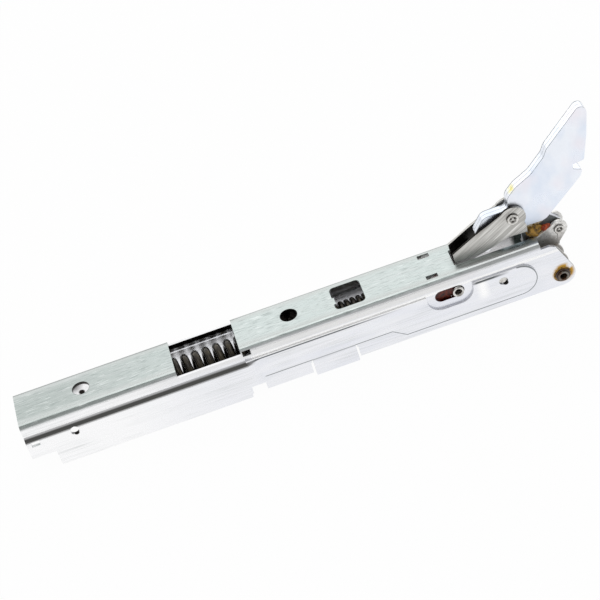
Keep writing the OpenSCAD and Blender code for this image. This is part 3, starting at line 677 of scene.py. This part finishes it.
def stained_bush():
    """Brass-coloured bush under old grease: amber at its rim, dark brown round the pivot."""
    grease = settings("hinge_grease")
    material = new_material("grease_stained_bush")
    pivot = centre_of("pivot_tube")
    dust = pattern(material, 1.2, band=(0.45, 0.65))
    tone = tinted(material, opaque(grease.fresh_colour), opaque(grease.dark_colour), dust)
    tone = tinted(material, tone, paint("#3A1C0A"), off_axis(material, pivot.x, pivot.z, 3.8 * MM, 3.2 * MM))
    normal = relief(material, (pattern(material, 0.6, detail=3, band=(0, 1)), 0.06 * MM))
    return surface(material, Base_Color=tone, Roughness=0.3, Normal=normal,
                   Coat_Weight=0.4, Coat_Roughness=0.1)


# Shapes of the pieces that are added

def finish_node(name, material, edge):
    """Gives a solid its finish, joins its split faces and breaks its sharp edges."""
    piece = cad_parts[name]
    piece.data.materials.clear()
    piece.data.materials.append(material)
    weld = piece.modifiers.new("joined faces", "WELD")
    weld.merge_threshold = 0.001 * MM
    round_off = piece.modifiers.new("broken edges", "BEVEL")
    round_off.width = edge
    round_off.segments = 2
    round_off.limit_method = "ANGLE"
    round_off.angle_limit = math.radians(30)
    round_off.harden_normals = True


def mesh_piece(name, build, material, body):
    """Makes a piece from a function that fills a bmesh, smooths it and lets it ride."""
    shape = bmesh.new()
    build(shape)
    bmesh.ops.recalc_face_normals(shape, faces=shape.faces)
    mesh = bpy.data.meshes.new(name)
    shape.to_mesh(mesh)
    shape.free()
    mesh.polygons.foreach_set("use_smooth", [True] * len(mesh.polygons))
    mesh.materials.append(material)
    piece = bpy.data.objects.new(name, mesh)
    bpy.context.scene.collection.objects.link(piece)
    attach(piece, body)
    return piece


def ring_skin(shape, rings, closed_ends=True):
    """Joins rings of points into a skin."""
    count = len(rings[0])
    for first, second in zip(rings, rings[1:]):
        for side in range(count):
            after = (side + 1) % count
            shape.faces.new((first[side], first[after], second[after], second[side]))
    if closed_ends:
        shape.faces.new(rings[0])
        shape.faces.new(rings[-1])


def coil_rise(turn, turns, span, wire):
    """Distance along a spring after so many turns, with a closed turn at each end."""
    pitch = (span - 3 * wire) / (turns - 2)
    closed_in = min(turn, 1) * wire
    opened = min(max(turn - 1, 0), turns - 2) * pitch
    closed_out = max(turn - turns + 1, 0) * wire
    return wire / 2 + closed_in + opened + closed_out


def coil(shape, node, wire, turns):
    """Sweeps round wire along a spring that fills the box of its solid."""
    low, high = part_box(node)
    middle = (low.z + high.z) / 2
    mean = (high.y - low.y - wire) / 2
    steps = 40
    sides = 16
    rings = []
    for step in range(turns * steps + 1):
        turn = step / steps
        around = turn * math.tau
        rise = low.x + coil_rise(turn, turns, high.x - low.x, wire)
        ring = []
        for side in range(sides):
            tilt = side / sides * math.tau
            along = rise + wire / 2 * math.sin(tilt)
            lift = mean + wire / 2 * math.cos(tilt)
            ring.append(shape.verts.new((along, lift * math.cos(around), middle + lift * math.sin(around))))
        rings.append(ring)
    ring_skin(shape, rings)


def circle_point(shape, centre, radius, turn, reach):
    """Adds a point on a circle that stands across the case, so far from the middle plane."""
    return shape.verts.new((
        centre.x + radius * math.cos(turn), reach, centre.z + radius * math.sin(turn)))


def dish_height(share_out, turn):
    """Height over the dish's floor, at a share of the head's radius: wall, boss and marks of the punch."""
    rivets = settings("hinge_rivet")
    wall_foot = 0.52
    wall_width = 0.12
    wall_height = 0.9 * rivets.dish
    boss_height = 0.55 * rivets.dish
    boss_radius = 0.45
    mark_count = 3
    first_mark = math.radians(20)
    mark_radius = 0.34
    mark_width = 0.14
    mark_sharpness = 1.6
    wall = min(max((share_out - wall_foot) / wall_width, 0), 1)
    boss = boss_height * math.exp(-(share_out / boss_radius) ** 4)
    wave = math.cos(mark_count / 2 * (turn - first_mark)) ** 2
    lobe = max(wave * mark_sharpness - (mark_sharpness - 1), 0)
    mark = rivets.stake * lobe * math.exp(-((share_out - mark_radius) / mark_width) ** 2)
    return wall * wall_height + (1 - wall) * boss - mark


def staked_head(shape, centre, side, foot, top, radius):
    """Upset head: a rim round a dish, with three marks of the staking punch on a boss in its middle."""
    rivets = settings("hinge_rivet")
    sides = 48
    turns = [index / sides * math.tau for index in range(sides)]
    floor = top - rivets.dish
    # Shares of the radius and of the height, from the foot of the head and over its rim
    outline = ((1, 0), (1, 0.6), (0.97, 0.85), (0.9, 0.98), (0.8, 1), (rivets.rim, 0.94))
    rings = []
    for share_out, rise in outline:
        reach = side * (foot + rise * (top - foot))
        rings.append([circle_point(shape, centre, share_out * radius, turn, reach) for turn in turns])
    # Shares of the radius from the rim into the middle of the dish
    for share_out in (0.64, 0.56, 0.48, 0.38, 0.28, 0.18, 0.08):
        reaches = [side * (floor + dish_height(share_out, turn)) for turn in turns]
        rings.append([
            circle_point(shape, centre, share_out * radius, turn, reach)
            for turn, reach in zip(turns, reaches)])
    ring_skin(shape, rings)


def staked_rivet(shape, node):
    """Shank across the arm with a staked head at each end, within the box of its solid."""
    rivets = settings("hinge_rivet")
    low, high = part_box(node)
    centre = centre_of(node)
    radius = (high.x - low.x) / 2
    foot = high.y - rivets.head
    sides = 32
    turns = [index / sides * math.tau for index in range(sides)]
    shank = [
        [circle_point(shape, centre, rivets.shank, turn, reach) for turn in turns]
        for reach in (-foot, foot)]
    ring_skin(shape, shank)
    for side in (-1, 1):
        staked_head(shape, centre, side, foot, high.y, radius)


def add_staked_rivet(node):
    """Puts a staked rivet in the place of its plain solid on the arm."""
    steel = staked_rivet_steel("staked_" + node + "_steel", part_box(node)[1].y)
    piece = mesh_piece(
        node + "_staked", lambda shape: staked_rivet(shape, node), steel, "arm")
    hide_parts(node)


def lumpy(shape, path, radii, flat, seed, wave):
    """Lump of grease along a path, flattened across the case and uneven all round."""
    sides = 20
    steps = 18
    # The rings nearest the tips are taken a little way in, so that none shrinks to a point
    tip = 0.04
    across = Vector((0, 1, 0))
    rings = []
    for step in range(steps + 1):
        along = step / steps * (len(path) - 1)
        index = min(int(along), len(path) - 2)
        part = along - index
        middle = path[index].lerp(path[index + 1], part)
        radius = radii[index] * (1 - part) + radii[index + 1] * part
        taper = math.sin(math.pi * min(max(step / steps, tip), 1 - tip)) ** 0.5
        upward = (path[index + 1] - path[index]).normalized().cross(across).normalized()
        ring = []
        for side in range(sides):
            turn = side / sides * math.tau
            spot = middle * PER_METRE_TO_MM + Vector((math.cos(turn), math.sin(turn), seed))
            out = radius * taper * (1 + wave * noise.noise(spot))
            way = flat * math.cos(turn) * across + math.sin(turn) * upward
            ring.append(shape.verts.new(middle + out * way))
        rings.append(ring)
    ring_skin(shape, rings)


def from_heel(*ways):
    """Places on the arm, each so many mm from the middle of the heel rivet."""
    return [centre_of("heel_rivet") + Vector(way) * MM for way in ways]


def grease_lump(name, material, body, path, radii, flat, seed, wave):
    """Adds a lump of grease along a path in metres, with its radii in mm."""
    thick = [radius * MM for radius in radii]
    mesh_piece(
        name, lambda shape: lumpy(shape, path, thick, flat, seed, wave), material, body)


def grease_ring(shape, centre, reach, radius, thick, seed):
    """Uneven ring of grease round the end of a pin."""
    steps = 40
    sides = 10
    wave = 0.3
    flat = 0.5
    rings = []
    for step in range(steps):
        turn = step / steps * math.tau
        uneven = 1 + wave * noise.noise(Vector((2 * math.cos(turn), 2 * math.sin(turn), seed)))
        ring = []
        for side in range(sides):
            tilt = side / sides * math.tau
            out = radius + thick * uneven * math.cos(tilt)
            bulge = flat * thick * uneven * math.sin(tilt)
            ring.append(circle_point(shape, centre, out, turn, reach + bulge))
        rings.append(ring)
    ring_skin(shape, rings + rings[:1], closed_ends=False)


# One button for each group of pieces

class HINGE_OT_case(Operator):
    """Gives the pressed case and the parts fixed in it their zinc"""
    bl_idname = "hinge.case"
    bl_label = "Case"

    def execute(self, context):
        edge = settings("hinge_sheet").edge_round
        zinc = zinc_on_sheet()
        finish_node("case_channel", zinc, edge)
        finish_node("rear_stop", zinc, edge)
        finish_node("rear_spigot", rivet_steel(), edge)
        return {"FINISHED"}


class HINGE_OT_springs(Operator):
    """Winds the main spring and the short spring in round wire"""
    bl_idname = "hinge.springs"
    bl_label = "Springs"

    def execute(self, context):
        spring = settings("hinge_spring")
        wire_finish = oiled_spring_wire()
        main = mesh_piece(
            "main_spring_wire",
            lambda shape: coil(shape, "main_spring", spring.main_wire, spring.main_turns),
            wire_finish, "case")
        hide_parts("main_spring")
        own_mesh(main)
        short = mesh_piece(
            "short_spring_wire",
            lambda shape: coil(shape, "short_spring", spring.short_wire, spring.short_turns),
            wire_finish, "slider")
        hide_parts("short_spring")
        return {"FINISHED"}


class HINGE_OT_slider(Operator):
    """Gives the sliding parts their greased steel"""
    bl_idname = "hinge.slider"
    bl_label = "Slider"

    def execute(self, context):
        edge = settings("hinge_sheet").edge_round
        greasy = greased_steel()
        for name in ("spring_collar", "spring_washer", "slider_spacer_near", "slider_spacer_far"):
            finish_node(name, greasy, edge)
        bright = rivet_steel()
        for name in ("push_rod", "rod_head", "slider_plate", "head_pins", "slider_pin"):
            finish_node(name, bright, edge / 2)
        return {"FINISHED"}


class HINGE_OT_pivot(Operator):
    """Finishes the tubular pivot and the rings round it"""
    bl_idname = "hinge.pivot"
    bl_label = "Pivot"

    def execute(self, context):
        edge = settings("hinge_sheet").edge_round / 2
        bright = rivet_steel()
        for name in ("pivot_spacer_near", "pivot_spacer_far"):
            finish_node(name, bright, edge)
        finish_node("pivot_tube", greased_steel(), edge)
        stained = stained_bush()
        for name in ("pivot_bush_near", "pivot_bush_far"):
            finish_node(name, stained, edge)
        return {"FINISHED"}


class HINGE_OT_arm(Operator):
    """Finishes the arm's plates, its carrier and its rivets"""
    bl_idname = "hinge.arm"
    bl_label = "Arm"

    def execute(self, context):
        sheet = settings("hinge_sheet")
        blue = blue_zinc_on_plate()
        for name in ("arm_plate_near", "arm_plate_far"):
            finish_node(name, blue, sheet.plate_round)
        tumbled = tumbled_carrier_steel()
        for name in ("carrier_near", "carrier_far"):
            finish_node(name, tumbled, sheet.edge_round)
        bright = rivet_steel()
        for name in ("crank_pin", "crank_roller"):
            finish_node(name, bright, sheet.edge_round / 2)
        for name in ("heel_rivet", "tail_rivet"):
            add_staked_rivet(name)
        greasy = greased_steel()
        for name in ("heel_washer", "tail_washer"):
            finish_node(name, greasy, sheet.edge_round)
        return {"FINISHED"}


class HINGE_OT_stirrup(Operator):
    """Finishes the stirrup and the rivet that it turns on"""
    bl_idname = "hinge.stirrup"
    bl_label = "Stirrup"

    def execute(self, context):
        finish_node("stirrup", brushed_stirrup_steel(), settings("hinge_sheet").edge_round)
        add_staked_rivet("stirrup_rivet")
        return {"FINISHED"}


class HINGE_OT_grease(Operator):
    """Squeezes grease out at the slot, between the ears and round the main pivot"""
    bl_idname = "hinge.grease"
    bl_label = "Grease"

    def execute(self, context):
        amber = amber_grease()
        ears = from_heel((-12.6, -1.2, 0.4), (-9.6, -1.5, 1.2), (-5.6, -1.3, 2.2))
        grease_lump("ear_grease", amber, "arm", ears, radii=(3.1, 3.2, 2), flat=0.6, seed=3, wave=0.8)
        over = from_heel((-12.4, -0.6, 3.4), (-9, -0.6, 4.3), (-5, -0.6, 4.6))
        pale = pale_grease()
        grease_lump("pale_grease", pale, "arm", over, radii=(1.4, 1.7, 1.3), flat=0.4, seed=11, wave=0.5)
        rim = from_heel((-6.8, -2.1, 1.5), (-5, -2.4, 1.9), (-2.9, -2.5, 3))
        red = red_grease()
        grease_lump("rim_grease", red, "arm", rim, radii=(1.4, 1.5, 1.1), flat=0.8, seed=9, wave=0.4)
        # The stirrup's toe sits on a bead of grease at the edge of the web
        toe = [on_case(181.7 * MM, across * MM, CASE_HIGH.z) for across in (0.2, 1.6, 3)]
        grease_lump("toe_grease", amber, "case", toe, radii=(0.4, 0.5, 0.4), flat=1, seed=2, wave=0.3)
        # Behind the slot the near spacer is smeared thinly
        pin = centre_of("slider_pin")
        smear_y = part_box("slider_spacer_near")[0].y - 0.05 * MM
        slot = [Vector((pin.x + along * MM, smear_y, pin.z)) for along in (-10.6, -5, -1)]
        rusty = rusty_grease()
        grease_lump("slot_grease", rusty, "slider", slot, radii=(3.6, 3.3, 3), flat=0.015, seed=7, wave=0.1)
        pivot = centre_of("pivot_tube")
        film = settings("hinge_grease").film
        bush_end = abs(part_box("pivot_bush_near")[0].y)
        for side, name in ((-1, "pivot_grease_near"), (1, "pivot_grease_far")):
            reach = side * (bush_end - 0.9 * MM)
            mesh_piece(name, lambda shape: grease_ring(shape, pivot, reach, 3.2 * MM, film, 5 + side),
                       amber, "case")
        return {"FINISHED"}


# The stage

def floor_paint():
    """Matt white card: camera, glossy and see-through rays see it nearly white, and it keeps soft shadows."""
    stage = settings("hinge_stage")
    material = new_material("matt_white_card")
    tone = tinted(material, opaque(stage.floor_colour), paint("#F3F3F3"), pattern(material, 1.2))
    card = add(material, "ShaderNodeBsdfPrincipled", {"Base Color": tone, "Roughness": 0.9})
    rays = add(material, "ShaderNodeLightPath").outputs
    seen = rays["Is Camera Ray"]
    for kind in ("Is Glossy Ray", "Is Transmission Ray"):
        seen = add(material, "ShaderNodeMath", {0: seen, 1: rays[kind]}, operation="MAXIMUM").outputs[0]
    factor = add(material, "ShaderNodeMath", {0: seen, 1: stage.floor_glow}, operation="MULTIPLY").outputs[0]
    glow = add(material, "ShaderNodeEmission", {"Color": WHITE, "Strength": 1})
    mixed = add(material, "ShaderNodeMixShader", {0: factor, 1: card.outputs[0], 2: glow.outputs[0]})
    add(material, "ShaderNodeOutputMaterial", {"Surface": mixed.outputs[0]})
    return material


def lay_floor():
    """Lays a floor that sweeps up into a backdrop, all sizes in metres."""
    half_width = 4
    backdrop_y = 3.2
    backdrop_z = 1.4
    sweep = ((-half_width, 0), (backdrop_y - 0.6, 0), (backdrop_y - 0.2, 0.15), (backdrop_y, 0.5),
             (backdrop_y, backdrop_z))
    shape = bmesh.new()
    left = [shape.verts.new((-half_width, along, up)) for along, up in sweep]
    right = [shape.verts.new((half_width, along, up)) for along, up in sweep]
    for index in range(len(sweep) - 1):
        shape.faces.new((left[index], right[index], right[index + 1], left[index + 1]))
    mesh = bpy.data.meshes.new("floor")
    shape.to_mesh(mesh)
    shape.free()
    mesh.materials.append(floor_paint())
    floor = bpy.data.objects.new("floor", mesh)
    bpy.context.scene.collection.objects.link(floor)


def panel_light(name, place, width, height, level):
    """Soft panel that faces the object, of an even brightness, with its power worked out from its area."""
    light = bpy.data.lights.new(name, "AREA")
    light.shape = "RECTANGLE"
    light.size = width
    light.size_y = height
    light.energy = level * math.pi * width * height
    lamp = bpy.data.objects.new(name, light)
    lamp.location = place
    target = Vector((0, 0, 20 * MM))
    lamp.rotation_euler = (target - Vector(place)).to_track_quat("-Z", "Y").to_euler()
    bpy.context.scene.collection.objects.link(lamp)


def hang_lights():
    """Hangs panels round the object, with places and sizes in metres, and lights the world plainly."""
    stage = settings("hinge_stage")
    panel_light("behind", (0, 1.9, 1.45), width=4.4, height=2.4, level=stage.behind_level)
    panel_light("overhead", (0, 0.1, 1.8), width=1.4, height=1.2, level=stage.overhead_level)
    panel_light("front", (0, -3, 0.7), width=3.6, height=0.7, level=stage.front_level)
    for name, side in (("left", -1), ("right", 1)):
        panel_light(name, (side * 2.2, 0.2, 0.8), width=1.6, height=1.2, level=stage.side_level)
    world = bpy.data.worlds.new("plain light")
    world.use_nodes = True
    backdrop = world.node_tree.nodes["Background"]
    backdrop.inputs["Color"].default_value = WHITE
    backdrop.inputs["Strength"].default_value = stage.world_level
    bpy.context.scene.world = world


def set_camera():
    """Stands the camera where the photo was taken from, turned and tilted the same way."""
    stage = settings("hinge_stage")
    back = Vector((
        math.sin(stage.azimuth) * math.cos(stage.elevation),
        -math.cos(stage.azimuth) * math.cos(stage.elevation),
        math.sin(stage.elevation)))
    level = Vector((math.cos(stage.azimuth), math.sin(stage.azimuth), 0))
    upright = back.cross(level)
    right = math.cos(stage.roll) * level + math.sin(stage.roll) * upright
    up = math.cos(stage.roll) * upright - math.sin(stage.roll) * level
    lens = bpy.data.cameras.new("camera")
    lens.lens = stage.focal
    lens.sensor_width = 36
    lens.clip_start = 0.01
    camera = bpy.data.objects.new("camera", lens)
    turned = Matrix((right, up, back)).transposed().to_4x4()
    camera.matrix_world = Matrix.Translation(stage.camera_place) @ turned
    bpy.context.scene.collection.objects.link(camera)
    bpy.context.scene.camera = camera


class HINGE_OT_stage(Operator):
    """Lays the pale floor, hangs the soft lights and sets up the camera"""
    bl_idname = "hinge.stage"
    bl_label = "Stage"

    def execute(self, context):
        lay_floor()
        hang_lights()
        set_camera()
        context.scene.view_settings.view_transform = "Standard"
        return {"FINISHED"}


OPERATORS = (HINGE_OT_case, HINGE_OT_springs, HINGE_OT_slider, HINGE_OT_pivot, HINGE_OT_arm,
             HINGE_OT_stirrup, HINGE_OT_grease, HINGE_OT_stage)
GROUPS = {"hinge_sheet": SheetSettings, "hinge_spring": SpringSettings, "hinge_rivet": RivetSettings,
          "hinge_grease": GreaseSettings, "hinge_stage": StageSettings}


class HINGE_PT_dressing(Panel):
    """Lists the hinge's sizes and colours, and a button for each group of pieces"""
    bl_idname = "HINGE_PT_dressing"
    bl_label = "Oven door hinge"
    bl_space_type = "VIEW_3D"
    bl_region_type = "UI"
    bl_category = "Hinge"

    def draw(self, context):
        for name in GROUPS:
            group = getattr(context.scene, name)
            box = self.layout.box()
            for field in group.__annotations__:
                box.prop(group, field)
        for operator in OPERATORS:
            self.layout.operator(operator.bl_idname)


def register():
    for group in GROUPS.values():
        bpy.utils.register_class(group)
    for name, group in GROUPS.items():
        setattr(bpy.types.Scene, name, PointerProperty(type=group))
    for kind in (*OPERATORS, HINGE_PT_dressing):
        bpy.utils.register_class(kind)


def unregister():
    for kind in (HINGE_PT_dressing, *reversed(OPERATORS)):
        bpy.utils.unregister_class(kind)
    for name, group in GROUPS.items():
        delattr(bpy.types.Scene, name)
        bpy.utils.unregister_class(group)


def main():
    register()
    bpy.ops.hinge.case()
    bpy.ops.hinge.springs()
    bpy.ops.hinge.slider()
    bpy.ops.hinge.pivot()
    bpy.ops.hinge.arm()
    bpy.ops.hinge.stirrup()
    bpy.ops.hinge.grease()
    bpy.ops.hinge.stage()
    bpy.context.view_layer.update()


if __name__ == "__main__":
    main()
